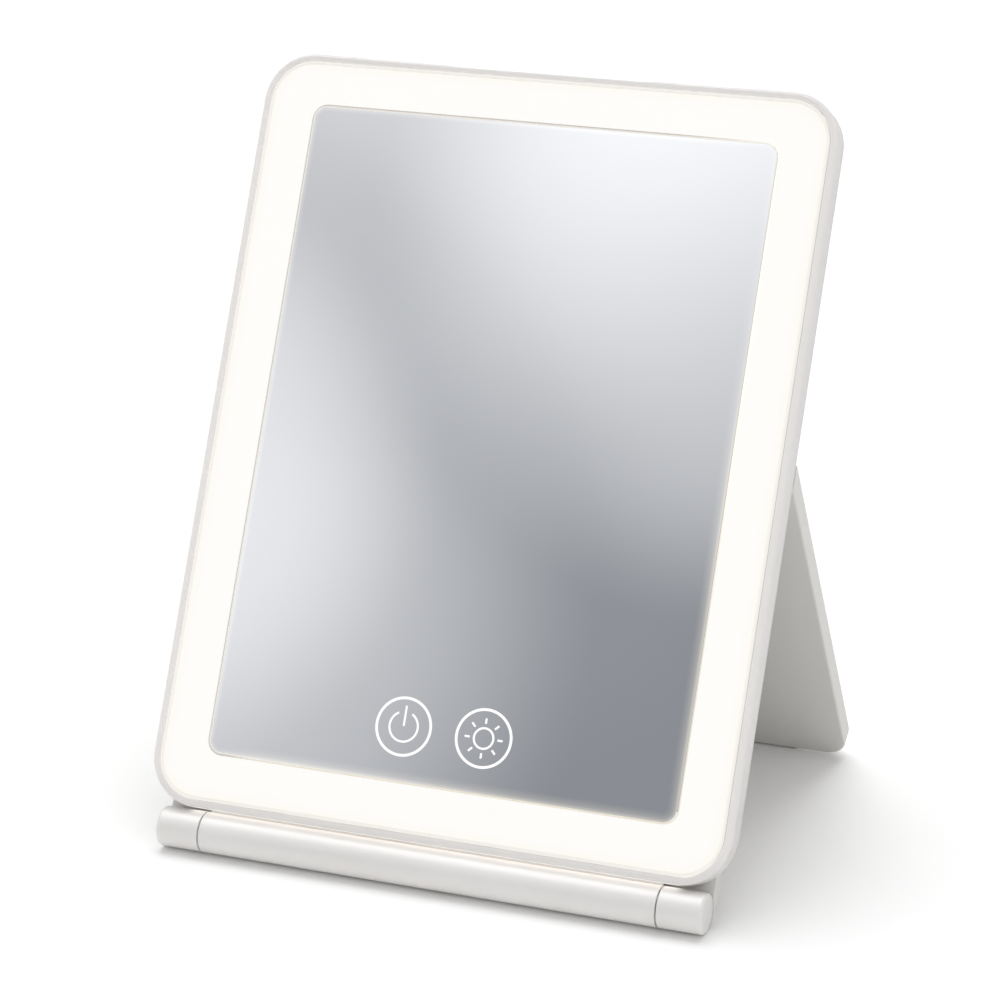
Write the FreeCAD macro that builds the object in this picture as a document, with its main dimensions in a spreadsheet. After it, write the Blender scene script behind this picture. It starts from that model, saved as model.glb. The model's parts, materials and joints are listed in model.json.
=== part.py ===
import FreeCAD, Part
import Sketcher
import math
import os

# Lighted makeup mirror on a folding stand, in millimetres, +Z up, front towards -Y.
# The mirror head tilts on a three-part barrel at its foot, and a wide leg behind holds it up.

doc = FreeCAD.newDocument("MakeupMirror")
sheet = doc.addObject("Spreadsheet::Sheet", "Sizes")

SIZES = {
    # glass and lit border
    "glass_width": 140.0,
    "glass_height": 190.0,
    "glass_thickness": 1.6,
    "glass_corner": 4.5,
    "glass_bevel": 0.5,
    "border_side": 16.0,
    "border_top": 14.6,
    "border_bottom": 15.55,
    # housing
    "axis_depth": 4.6,
    "barrel_clear": 0.6,
    "frame_wall": 2.1,
    "frame_corner": 14.5,
    "frame_round": 1.1,
    "shell_floor": 1.5,
    "shell_round": 1.1,
    "notch_width": 64.0,
    "notch_depth": 0.65,
    "notch_shoulder": 118.0,
    "shoulder_depth": 0.25,
    "notch_slope": 4.0,
    # diffuser and tape
    "rim_recess": 0.2,
    "glass_proud": 0.1,
    "diffuser_thickness": 2.4,
    "border_lip_width": 1.0,
    "border_lip_drop": 0.35,
    "border_bevel": 0.25,
    "rim_gap": 0.12,
    "seat_gap": 0.1,
    "ledge_width": 3.0,
    "tape_width": 2.4,
    "tape_thickness": 0.15,
    # fastening posts and screws
    "post_radius": 2.4,
    "post_inset": 1.8,
    "post_margin": 32.0,
    "post_gap": 0.3,
    "screw_radius": 0.9,
    "screw_length": 4.4,
    "screw_gap": 0.05,
    "head_radius": 1.75,
    "head_height": 0.8,
    "head_gap": 0.15,
    # lamps
    "strip_width": 8.0,
    "strip_thickness": 0.8,
    "strip_end": 22.0,
    "strip_inset": 4.9,
    "strip_board_gap": 4.0,
    "strip_leaf_gap": 0.3,
    "lamp_length": 3.5,
    "lamp_width": 2.8,
    "lamp_height": 0.75,
    "lamp_pitch": 12.0,
    # touch control
    "touch_rise": 15.6,
    "touch_spread": 11.9,
    "touch_radius": 7.0,
    "touch_thickness": 0.4,
    "touch_board_width": 50.0,
    "touch_board_height": 20.0,
    "board_thickness": 1.0,
    # charging and control board
    "board_inset": 6.5,
    "board_length": 55.5,
    "board_foot": 15.4,
    "board_width": 26.0,
    "board_lift": 1.0,
    "standoff_radius": 1.8,
    "standoff_inset": 3.5,
    "standoff_left_inset": 7.5,
    "chip_width": 7.0,
    "chip_pitch": 14.0,
    "chip_height": 1.0,
    "socket_rise": 8.0,
    "socket_width": 8.94,
    "socket_height": 3.2,
    "socket_length": 7.3,
    "socket_wall": 0.3,
    "socket_corner": 1.3,
    "socket_back": 1.2,
    "socket_lift": 0.55,
    "socket_reveal": 0.5,
    "socket_gap": 0.2,
    "socket_clear": 0.15,
    "tongue_width": 6.7,
    "tongue_height": 0.7,
    "tongue_length": 4.4,
    # battery
    "battery_width": 90.0,
    "battery_height": 60.0,
    "battery_thickness": 3.2,
    "battery_corner": 3.0,
    "battery_round": 1.0,
    "battery_tape_inset": 6.0,
    "battery_tape_thickness": 0.3,
    "rib_width": 1.0,
    "rib_height": 1.4,
    "rib_gap": 0.4,
    # barrel and hinge
    "barrel_radius": 5.75,
    "barrel_gap": 0.4,
    "knuckle_inset": 5.0,
    "knuckle_length": 12.9,
    "knuckle_round": 1.0,
    "barrel_ease": 0.15,
    "pin_radius": 2.0,
    "pin_cover": 3.2,
    "press_gap": 0.02,
    "running_gap": 0.05,
    "barrel_bore": 2.4,
    "bush_radius": 3.5,
    "bush_length": 12.0,
    "washer_inset": 1.2,
    "washer_gap": 0.05,
    "leaf_inset": 0.4,
    "leaf_thickness": 1.3,
    "leaf_gap": 0.1,
    "leaf_rise": 5.0,
    "leaf_boss_radius": 2.2,
    "leaf_boss_height": 2.0,
    "hinge_screw_inset": 19.6,
    "hinge_screw_length": 3.6,
    "foot_proud": 0.3,
    "foot_sunk": 0.75,
    "foot_width": 3.0,
    "foot_setback": 1.3,
    "foot_margin": 1.6,
    # back plate
    "plate_inset": 5.0,
    "plate_gap": 0.3,
    "plate_foot_drop": 2.75,
    "plate_barrel_gap": 0.4,
    "ear_gap": 0.3,
    "ear_tip": 1.4,
    "ear_screw_gap": 0.7,
    "ear_screw_length": 7.1,
    "lip_thickness": 1.6,
    "lip_rise": 5.0,
    "lip_clear": 0.45,
    "bumper_radius": 4.0,
    "bumper_seat": 0.75,
    "bumper_gap": 0.02,
    "bumper_inset": 21.0,
    "bumper_foot_margin": 27.0,
    "bumper_top_margin": 15.5,
    # leg and its hinge
    "fold_rise": 114.3,
    "fold_gap": 0.5,
    "fold_radius": 3.4,
    "fold_pin_radius": 1.25,
    "fold_clear": 0.4,
    "fold_side_gap": 0.5,
    "fold_inset": 2.0,
    "fold_end_length": 19.0,
    "stop_gap": 0.05,
    "stop_height": 3.0,
    "stop_root": 1.0,
    "leg_thickness": 6.2,
    "leg_corner": 7.0,
    "leg_top_corner": 5.0,
    "leg_round": 0.6,
    "horn_clear": 0.3,
    "horn_gap": 0.5,
    "horn_corner": 1.0,
    "leg_rim": 2.2,
    "leg_seat": 1.4,
    "leg_front_wall": 1.6,
    "leg_floor_gap": 0.3,
    "cover_thickness": 1.4,
    "cover_gap": 0.15,
    "leg_post_radius": 2.6,
    "leg_post_inset": 18.0,
    "leg_post_margin": 18.0,
    "leg_screw_length": 3.0,
    "foot_strip_inset": 16.0,
    "foot_strip_near": 0.9,
    "foot_strip_far": 3.4,
    "foot_strip_seat": 2.4,
}

# Leans from upright and the taper of the ears, in degrees.
ANGLES = {
    "mirror_lean_angle": 26.8,
    "leg_lean_angle": 33.2,
    "ear_taper_angle": 39.5,
}


# A size keeps its number together with the sheet expression that gives it.
class Size:
    def __init__(self, value, text):
        self.value = value
        self.text = text

    def __add__(self, other):
        return Size(self.value + as_size(other).value, f"({self.text} + {as_size(other).text})")

    def __sub__(self, other):
        return Size(self.value - as_size(other).value, f"({self.text} - {as_size(other).text})")

    def __mul__(self, other):
        return Size(self.value * as_size(other).value, f"({self.text} * {as_size(other).text})")

    def __truediv__(self, other):
        return Size(self.value / as_size(other).value, f"({self.text} / {as_size(other).text})")

    def __neg__(self):
        return Size(-self.value, f"(0 - {self.text})")


def as_size(value):
    if isinstance(value, Size):
        return value
    return Size(float(value), str(value))


def sine(angle):
    return Size(math.sin(math.radians(angle.value)), f"sin({angle.text})")


def cosine(angle):
    return Size(math.cos(math.radians(angle.value)), f"cos({angle.text})")


class Sizes:
    pass


d = Sizes()
cells = {}
start_place = {"axis_setback": 0}
for row, (alias, value) in enumerate({**SIZES, **ANGLES, **start_place}.items(), start=1):
    cells[alias] = f"B{row}"
    sheet.set(f"A{row}", alias)
    sheet.set(cells[alias], str(value))
    sheet.setAlias(cells[alias], alias)
    setattr(d, alias, Size(value, f"Sizes.{alias}"))
doc.recompute()

zero = as_size(0)
closeness = 1e-5
chip_count = 3
nodes = []

# Places in the mirror's own frame: x to the right, y up the mirror from the barrel's axis, z to the front.
half_width = d.glass_width / 2 + d.border_side
frame_bottom = d.barrel_radius + d.barrel_clear
glass_bottom = frame_bottom + d.border_bottom
glass_top = glass_bottom + d.glass_height
glass_middle = glass_bottom + d.glass_height / 2
frame_top = glass_top + d.border_top
front = d.axis_depth
diffuser_front = front - d.rim_recess
diffuser_back = diffuser_front - d.diffuser_thickness
socket_top = diffuser_back - d.socket_clear
socket_low = socket_top - d.socket_height
seam = socket_low - d.socket_lift
back = seam - d.shell_floor
glass_front = diffuser_front + d.glass_proud
glass_back = glass_front - d.glass_thickness
tape_back = glass_back - d.tape_thickness
plate_front = back - d.plate_gap
lip_back = plate_front - d.lip_thickness
fold_depth = lip_back - d.lip_clear - d.fold_radius
plate_back = fold_depth + d.fold_gap / 2
plate_foot = d.barrel_radius - d.plate_foot_drop
plate_top = d.fold_rise - d.fold_radius - d.fold_clear

# Half lengths along the barrel, each set in from the one outside it.
knuckle_end = half_width - d.knuckle_inset
knuckle_start = knuckle_end - d.knuckle_length
knuckle_middle = (knuckle_start + knuckle_end) / 2
barrel_end = knuckle_start - d.barrel_gap
leaf_end = barrel_end - d.leaf_inset
pin_end = knuckle_end - d.pin_cover
plate_half_width = half_width - d.plate_inset
fold_end = plate_half_width - d.fold_inset
fold_outer = fold_end - d.fold_end_length
fold_middle = fold_outer / 2
leg_half_width = half_width
foot_strip_half_length = leg_half_width - d.foot_strip_inset

# The table lies under the barrel's feet, and the leg reaches down to it from its hinge.
axis_height = d.barrel_radius + d.foot_proud
leg_turn = d.mirror_lean_angle + d.leg_lean_angle
fold_height = axis_height + d.fold_rise * cosine(d.mirror_lean_angle) + fold_depth * sine(d.mirror_lean_angle)
fold_behind = d.fold_rise * sine(d.mirror_lean_angle) - fold_depth * cosine(d.mirror_lean_angle)
leg_front = -(d.fold_gap / 2)
leg_back = leg_front - d.leg_thickness
leg_top = -(d.fold_radius + d.fold_clear)
leg_end = -((fold_height - d.leg_floor_gap - leg_front * sine(d.leg_lean_angle)) / cosine(d.leg_lean_angle))


def turn_about_x(thing, behind, height, angle_text):
    along_x = FreeCAD.Rotation(FreeCAD.Vector(1, 0, 0), 1)
    thing.Placement = FreeCAD.Placement(FreeCAD.Vector(), along_x)
    thing.setExpression("Placement.Base.y", behind.text)
    thing.setExpression("Placement.Base.z", height.text)
    thing.setExpression("Placement.Rotation.Angle", angle_text)


# The mirror head and the stand share the frame of the barrel's axis.
def place_on_barrel(thing):
    turn_about_x(thing, d.axis_setback, axis_height, f"90 - {d.mirror_lean_angle.text}")


# The leg's frame is that of its hinge, opened from the folded place by the two leans together.
def place_on_fold(thing):
    angle_text = f"90 - {d.mirror_lean_angle.text} + {leg_turn.text}"
    turn_about_x(thing, d.axis_setback + fold_behind, fold_height, angle_text)


def new_body(label, place):
    body = doc.addObject("PartDesign::Body", label)
    body.Label = label
    body.AllowCompound = True
    place(body)
    nodes.append(body)
    return body


def new_sketch(body, role, offset):
    sketch = body.newObject("Sketcher::SketchObject", f"{body.Label}_sketch")
    planes = [item for item in body.Origin.OriginFeatures if item.Role == role]
    sketch.AttachmentSupport = [(planes[0], "")]
    sketch.MapMode = "FlatFace"
    sketch.setExpression("AttachmentOffset.Base.z", offset.text)
    return sketch


# A sketch facing the front at depth z, one facing right at x, or one facing down at height y.
def facing_front(body, z):
    return new_sketch(body, "XY_Plane", z)


def facing_right(body, x):
    return new_sketch(body, "YZ_Plane", x)


def facing_down(body, y):
    return new_sketch(body, "XZ_Plane", -y)


def set_constraint(sketch, kind, arguments, size):
    place = sketch.addConstraint(Sketcher.Constraint(kind, *arguments, size.value))
    sketch.setExpression(f"Constraints[{place}]", size.text)


def fix_point(sketch, curve, point, x, y):
    set_constraint(sketch, "DistanceX", (-1, 1, curve, point), x)
    set_constraint(sketch, "DistanceY", (-1, 1, curve, point), y)


def draw_outline(sketch, points):
    corners = [FreeCAD.Vector(x.value, y.value, 0) for x, y in points]
    first = sketch.GeometryCount
    count = len(points)
    for index in range(count):
        sketch.addGeometry(Part.LineSegment(corners[index], corners[(index + 1) % count]), False)
    for index, (x, y) in enumerate(points):
        following = first + (index + 1) % count
        sketch.addConstraint(Sketcher.Constraint("Coincident", first + index, 2, following, 1))
        fix_point(sketch, first + index, 1, x, y)


def draw_rectangle(sketch, left, right, bottom, top):
    draw_outline(sketch, [(left, bottom), (right, bottom), (right, top), (left, top)])


def draw_circle(sketch, x, y, radius):
    centre = FreeCAD.Vector(x.value, y.value, 0)
    curve = sketch.addGeometry(Part.Circle(centre, FreeCAD.Vector(0, 0, 1), radius.value), False)
    fix_point(sketch, curve, 3, x, y)
    set_constraint(sketch, "Radius", (curve,), radius)


# Four quarter arcs joined by four straight sides, with one radius below and one above.
def draw_rounded(sketch, left, right, bottom, top, low_radius, high_radius):
    quarters = [
        (right - low_radius, bottom, right, bottom + low_radius, right - low_radius, bottom + low_radius),
        (right, top - high_radius, right - high_radius, top, right - high_radius, top - high_radius),
        (left + high_radius, top, left, top - high_radius, left + high_radius, top - high_radius),
        (left, bottom + low_radius, left + low_radius, bottom, left + low_radius, bottom + low_radius),
    ]
    radii = [low_radius, high_radius, high_radius, low_radius]
    first = sketch.GeometryCount
    for index, (start_x, start_y, end_x, end_y, centre_x, centre_y) in enumerate(quarters):
        centre = FreeCAD.Vector(centre_x.value, centre_y.value, 0)
        circle = Part.Circle(centre, FreeCAD.Vector(0, 0, 1), radii[index].value)
        start_angle = (index - 1) * math.pi / 2
        sketch.addGeometry(Part.ArcOfCircle(circle, start_angle, start_angle + math.pi / 2), False)
    for index, (start_x, start_y, end_x, end_y, centre_x, centre_y) in enumerate(quarters):
        following = quarters[(index + 1) % len(quarters)]
        side_start = FreeCAD.Vector(end_x.value, end_y.value, 0)
        side_end = FreeCAD.Vector(following[0].value, following[1].value, 0)
        side = sketch.addGeometry(Part.LineSegment(side_start, side_end), False)
        arc = first + index
        next_arc = first + (index + 1) % len(quarters)
        sketch.addConstraint(Sketcher.Constraint("Coincident", arc, 2, side, 1))
        sketch.addConstraint(Sketcher.Constraint("Coincident", side, 2, next_arc, 1))
        fix_point(sketch, arc, 1, start_x, start_y)
        fix_point(sketch, arc, 2, end_x, end_y)
        set_constraint(sketch, "Radius", (arc,), radii[index])


def pad(body, sketch, length):
    feature = body.newObject("PartDesign::Pad", f"{body.Label}_pad")
    feature.Profile = sketch
    feature.setExpression("Length", length.text)
    doc.recompute()


# A pocket runs against its sketch's facing direction, or along it where forward is set.
def pocket(body, sketch, length, forward=False):
    before = body.Shape.Volume
    feature = body.newObject("PartDesign::Pocket", f"{body.Label}_pocket")
    feature.Profile = sketch
    feature.Reversed = forward
    feature.setExpression("Length", length.text)
    doc.recompute()
    if before - body.Shape.Volume < closeness:
        raise RuntimeError(f"a pocket in {body.Label} cuts nothing")


def dress(body, kind, size, wanted):
    base = body.Tip
    names = [f"Edge{place}" for place, edge in enumerate(base.Shape.Edges, start=1) if wanted(edge)]
    if not names:
        raise RuntimeError(f"no edge of {body.Label} to dress")
    feature = body.newObject(f"PartDesign::{kind}", f"{body.Label}_{kind.lower()}")
    feature.Base = (base, names)
    feature.setExpression("Radius" if kind == "Fillet" else "Size", size.text)
    doc.recompute()


def at_depth(z):
    return lambda edge: all(abs(vertex.Z - z.value) < closeness for vertex in edge.Vertexes)


def rim_at(x, radius):
    def wanted(edge):
        round_rim = isinstance(edge.Curve, Part.Circle) and abs(edge.Curve.Radius - radius.value) < closeness
        return round_rim and abs(edge.Vertexes[0].X - x.value) < closeness
    return wanted


def both_sides(size):
    return (-size, size)


# Screws are a flat head and a shank, driven along +Z of their place.
def new_screw(label, x, y, z, shank_length):
    head = doc.addObject("Part::Cylinder", f"{label}_head")
    head.setExpression("Radius", d.head_radius.text)
    head.setExpression("Height", d.head_height.text)
    shank = doc.addObject("Part::Cylinder", f"{label}_shank")
    shank.setExpression("Radius", d.screw_radius.text)
    shank.setExpression("Height", (shank_length + d.head_height).text)
    screw = doc.addObject("Part::Fuse", label)
    screw.Base = head
    screw.Tool = shank
    screw.setExpression("Placement.Base.x", x.text)
    screw.setExpression("Placement.Base.y", y.text)
    screw.setExpression("Placement.Base.z", z.text)
    return screw


def new_box(label, left, bottom, low, width, height, depth):
    box = doc.addObject("Part::Box", label)
    box.setExpression("Length", width.text)
    box.setExpression("Width", height.text)
    box.setExpression("Height", depth.text)
    box.setExpression("Placement.Base.x", left.text)
    box.setExpression("Placement.Base.y", bottom.text)
    box.setExpression("Placement.Base.z", low.text)
    return box


def new_group(label, pieces, place):
    group = doc.addObject("Part::Compound", label)
    group.Label = label
    group.Links = pieces
    place(group)
    nodes.append(group)
    doc.recompute()


# Front frame: a ring with a rounded rim, a shallow finger notch on top, six screw posts and a slot below.
post_side = half_width - d.frame_wall - d.post_inset
post_rows = (frame_bottom + d.post_margin, (frame_bottom + frame_top) / 2, frame_top - d.post_margin)
post_places = [(x, y) for x in both_sides(post_side) for y in post_rows]
leaf_back = seam + d.leaf_gap
leaf_front = leaf_back + d.leaf_thickness
leaf_top = frame_bottom + d.frame_wall + d.leaf_rise
hinge_screw_outer = leaf_end - d.hinge_screw_inset
hinge_screw_row = leaf_top - d.leaf_rise / 2
hinge_screw_places = [
    (x, hinge_screw_row)
    for x in both_sides(hinge_screw_outer) + both_sides(hinge_screw_outer / 3)
]
board_bottom = frame_bottom + d.board_foot
board_top = board_bottom + d.board_width
board_left = half_width - d.board_inset
board_right = board_left - d.board_length
socket_place = board_bottom + d.socket_rise
socket_start = -(half_width - d.socket_reveal)


def make_front_frame():
    frame = new_body("front_frame", place_on_barrel)
    sketch = facing_front(frame, seam)
    draw_border(sketch, zero)
    pad(frame, sketch, front - seam)
    dress(frame, "Fillet", d.frame_round, at_depth(front))
    sketch = facing_front(frame, front)
    draw_border(sketch, d.frame_wall)
    pocket(frame, sketch, front - seam)
    sketch = facing_front(frame, front)
    draw_outline(sketch, notch_outline())
    pocket(frame, sketch, front - seam)
    sketch = facing_front(frame, seam)
    for x, y in post_places:
        draw_circle(sketch, x, y, d.post_radius)
    pad(frame, sketch, diffuser_back - d.post_gap - seam)
    sketch = facing_front(frame, seam)
    for x, y in post_places:
        draw_circle(sketch, x, y, d.screw_radius + d.screw_gap)
    pocket(frame, sketch, diffuser_back - d.post_gap - seam, forward=True)
    sketch = facing_down(frame, frame_bottom)
    draw_rectangle(sketch, -leaf_end - d.leaf_gap, leaf_end + d.leaf_gap, seam, leaf_front + d.leaf_gap)
    pocket(frame, sketch, d.frame_wall)
    sketch = facing_right(frame, -half_width)
    draw_rounded(sketch, socket_place - d.socket_width / 2 - d.socket_gap,
                 socket_place + d.socket_width / 2 + d.socket_gap,
                 socket_low - d.socket_gap, socket_top + d.socket_gap, d.socket_corner, d.socket_corner)
    pocket(frame, sketch, d.frame_wall, forward=True)


def notch_outline():
    shoulder = frame_top - d.shoulder_depth
    floor = frame_top - d.notch_depth
    above = frame_top + d.notch_depth
    right_side = [
        (d.notch_width / 2 - d.notch_slope, floor),
        (d.notch_width / 2, shoulder),
        (d.notch_shoulder / 2 - d.notch_slope, shoulder),
        (d.notch_shoulder / 2, frame_top),
        (d.notch_shoulder / 2, above),
    ]
    return right_side + [(-x, y) for x, y in reversed(right_side)]


# Rear shell: the flat back with a rounded edge, board standoffs, a battery fence and sunk screw seats.
battery_low = glass_middle - d.battery_height / 2
battery_top = glass_middle + d.battery_height / 2
standoff_places = [
    (x, y)
    for x in (d.standoff_left_inset - board_left, -board_right - d.standoff_inset)
    for y in (board_bottom + d.standoff_inset, board_top - d.standoff_inset)
]


def make_rear_shell():
    shell = new_body("rear_shell", place_on_barrel)
    sketch = facing_front(shell, back)
    draw_border(sketch, zero)
    pad(shell, sketch, d.shell_floor)
    dress(shell, "Fillet", d.shell_round, at_depth(back))
    sketch = facing_front(shell, seam)
    for x, y in standoff_places:
        draw_circle(sketch, x, y, d.standoff_radius)
    pad(shell, sketch, d.board_lift)
    sketch = facing_front(shell, seam)
    for gap in (d.rib_gap, d.rib_gap + d.rib_width):
        draw_rectangle(sketch, -(d.battery_width / 2) - gap, d.battery_width / 2 + gap,
                       battery_low - gap, battery_top + gap)
    pad(shell, sketch, d.rib_height)
    sketch = facing_front(shell, back)
    for x, y in post_places + hinge_screw_places:
        draw_circle(sketch, x, y, d.head_radius + d.head_gap)
    pocket(shell, sketch, d.head_height, forward=True)
    sketch = facing_front(shell, back)
    for x, y in post_places + hinge_screw_places:
        draw_circle(sketch, x, y, d.screw_radius + d.head_gap)
    pocket(shell, sketch, d.shell_floor, forward=True)


# Frosted diffuser: lit border raised above a lip at its rim, and a sunk ledge that carries the glass.
def make_diffuser_panel():
    diffuser = new_body("diffuser_panel", place_on_barrel)
    inset = d.frame_wall + d.rim_gap
    lip = diffuser_front - d.border_lip_drop
    sketch = facing_front(diffuser, diffuser_back)
    draw_border(sketch, inset)
    pad(diffuser, sketch, lip - diffuser_back)
    sketch = facing_front(diffuser, lip)
    draw_border(sketch, inset + d.border_lip_width)
    pad(diffuser, sketch, d.border_lip_drop)
    dress(diffuser, "Chamfer", d.border_bevel, at_depth(diffuser_front))
    sketch = facing_front(diffuser, diffuser_front)
    draw_glass_outline(sketch, -d.seat_gap)
    pocket(diffuser, sketch, diffuser_front - tape_back)
    sketch = facing_front(diffuser, diffuser_front)
    draw_glass_outline(sketch, d.ledge_width)
    pocket(diffuser, sketch, d.diffuser_thickness)


def draw_border(sketch, inset):
    corner = d.frame_corner - inset
    draw_rounded(sketch, inset - half_width, half_width - inset, frame_bottom + inset, frame_top - inset,
                 corner, corner)


def draw_glass_outline(sketch, inset):
    corner = d.glass_corner - inset
    draw_rounded(sketch, inset - d.glass_width / 2, d.glass_width / 2 - inset, glass_bottom + inset,
                 glass_top - inset, corner, corner)


def make_mirror_glass():
    glass = new_body("mirror_glass", place_on_barrel)
    sketch = facing_front(glass, glass_back)
    draw_glass_outline(sketch, zero)
    pad(glass, sketch, d.glass_thickness)
    dress(glass, "Chamfer", d.glass_bevel, at_depth(glass_front))


def make_glass_tape():
    tape = new_body("glass_tape", place_on_barrel)
    sketch = facing_front(tape, tape_back)
    draw_glass_outline(sketch, d.seat_gap)
    draw_glass_outline(sketch, d.seat_gap + d.tape_width)
    pad(tape, sketch, d.tape_thickness)


# Lamp strips lie on the rear shell under the lit border, with lamps at an even pitch along each.
strip_reach = half_width - d.strip_end
strip_side = half_width - d.frame_wall - d.strip_inset - d.strip_width / 2
strip_high = glass_top + (d.border_top - d.frame_wall) / 2
strip_low = leaf_top + d.strip_leaf_gap + d.strip_width / 2
side_top = frame_top - d.strip_end
left_foot = board_top + d.strip_board_gap
strips = {
    "led_strip_top": (zero, strip_high, strip_reach * 2, True),
    "led_strip_bottom": (zero, strip_low, strip_reach * 2, True),
    "led_strip_left": (-strip_side, (left_foot + side_top) / 2, side_top - left_foot, False),
    "led_strip_right": (strip_side, (frame_bottom + frame_top) / 2,
                        side_top - frame_bottom - d.strip_end, False),
}


def make_lamp_strips():
    lamps = []
    for label, (x, y, length, level) in strips.items():
        half_x = length / 2 if level else d.strip_width / 2
        half_y = d.strip_width / 2 if level else length / 2
        strip = new_body(label, place_on_barrel)
        sketch = facing_front(strip, seam)
        draw_rectangle(sketch, x - half_x, x + half_x, y - half_y, y + half_y)
        pad(strip, sketch, d.strip_thickness)
        width = d.lamp_length if level else d.lamp_width
        height = d.lamp_width if level else d.lamp_length
        count = int(length.value / d.lamp_pitch.value)
        for index in range(count):
            along = d.lamp_pitch * (index - (count - 1) / 2)
            lamp_x = x + along if level else x
            lamp_y = y if level else y + along
            lamps.append(new_box("lamp", lamp_x - width / 2, lamp_y - height / 2, seam + d.strip_thickness,
                                 width, height, d.lamp_height))
    new_group("led_chips", lamps, place_on_barrel)


# Touch control: two sensing pads against the glass on a small board.
touch_height = glass_bottom + d.touch_rise
pad_back = glass_back - d.touch_thickness


def make_touch_control():
    for label, x in (("power_pad", -d.touch_spread), ("dimmer_pad", d.touch_spread)):
        sensing_pad = new_body(label, place_on_barrel)
        sketch = facing_front(sensing_pad, pad_back)
        draw_circle(sketch, x, touch_height, d.touch_radius)
        pad(sensing_pad, sketch, d.touch_thickness)
    board = new_body("touch_board", place_on_barrel)
    sketch = facing_front(board, pad_back - d.board_thickness)
    draw_rectangle(sketch, -(d.touch_board_width / 2), d.touch_board_width / 2,
                   touch_height - d.touch_board_height / 2, touch_height + d.touch_board_height / 2)
    pad(board, sketch, d.board_thickness)


# Main board on four standoffs, notched at its edge for the charging socket that faces left.
def make_main_board():
    board = new_body("main_board", place_on_barrel)
    board_low = seam + d.board_lift
    notch_low = socket_place - d.socket_width / 2 - d.socket_gap
    notch_high = socket_place + d.socket_width / 2 + d.socket_gap
    notch_end = socket_start + d.socket_length + d.socket_gap
    sketch = facing_front(board, board_low)
    draw_outline(sketch, [
        (-board_left, board_bottom), (-board_right, board_bottom), (-board_right, board_top),
        (-board_left, board_top), (-board_left, notch_high), (notch_end, notch_high),
        (notch_end, notch_low), (-board_left, notch_low),
    ])
    pad(board, sketch, d.board_thickness)
    chip_low = board_low + d.board_thickness
    chip_bottom = (board_bottom + board_top) / 2 - d.chip_width / 2
    chips = []
    for index in range(chip_count):
        left = -board_right - d.chip_pitch * (index + 1)
        chips.append(new_box("chip", left, chip_bottom, chip_low, d.chip_width, d.chip_width, d.chip_height))
    new_group("board_chips", chips, place_on_barrel)


def make_usb_socket():
    socket = new_body("usb_socket", place_on_barrel)
    left = socket_place - d.socket_width / 2
    right = socket_place + d.socket_width / 2
    sketch = facing_right(socket, socket_start)
    draw_rounded(sketch, left, right, socket_low, socket_top, d.socket_corner, d.socket_corner)
    pad(socket, sketch, d.socket_length)
    inner_corner = d.socket_corner - d.socket_wall
    sketch = facing_right(socket, socket_start)
    draw_rounded(sketch, left + d.socket_wall, right - d.socket_wall, socket_low + d.socket_wall,
                 socket_top - d.socket_wall, inner_corner, inner_corner)
    pocket(socket, sketch, d.socket_length - d.socket_back, forward=True)
    middle = (socket_low + socket_top) / 2
    sketch = facing_right(socket, socket_start + d.socket_length - d.socket_back - d.tongue_length)
    draw_rectangle(sketch, socket_place - d.tongue_width / 2, socket_place + d.tongue_width / 2,
                   middle - d.tongue_height / 2, middle + d.tongue_height / 2)
    pad(socket, sketch, d.tongue_length)


# Flat battery behind the glass, held by a tape inside its fence.
def make_battery():
    tape = new_body("battery_tape", place_on_barrel)
    sketch = facing_front(tape, seam)
    inset = d.battery_tape_inset
    draw_rectangle(sketch, inset - d.battery_width / 2, d.battery_width / 2 - inset,
                   battery_low + inset, battery_top - inset)
    pad(tape, sketch, d.battery_tape_thickness)
    battery = new_body("battery_cell", place_on_barrel)
    sketch = facing_front(battery, seam + d.battery_tape_thickness)
    draw_rounded(sketch, -(d.battery_width / 2), d.battery_width / 2, battery_low, battery_top,
                 d.battery_corner, d.battery_corner)
    pad(battery, sketch, d.battery_thickness)
    dress(battery, "Fillet", d.battery_round, at_depth(seam + d.battery_tape_thickness + d.battery_thickness))


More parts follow.
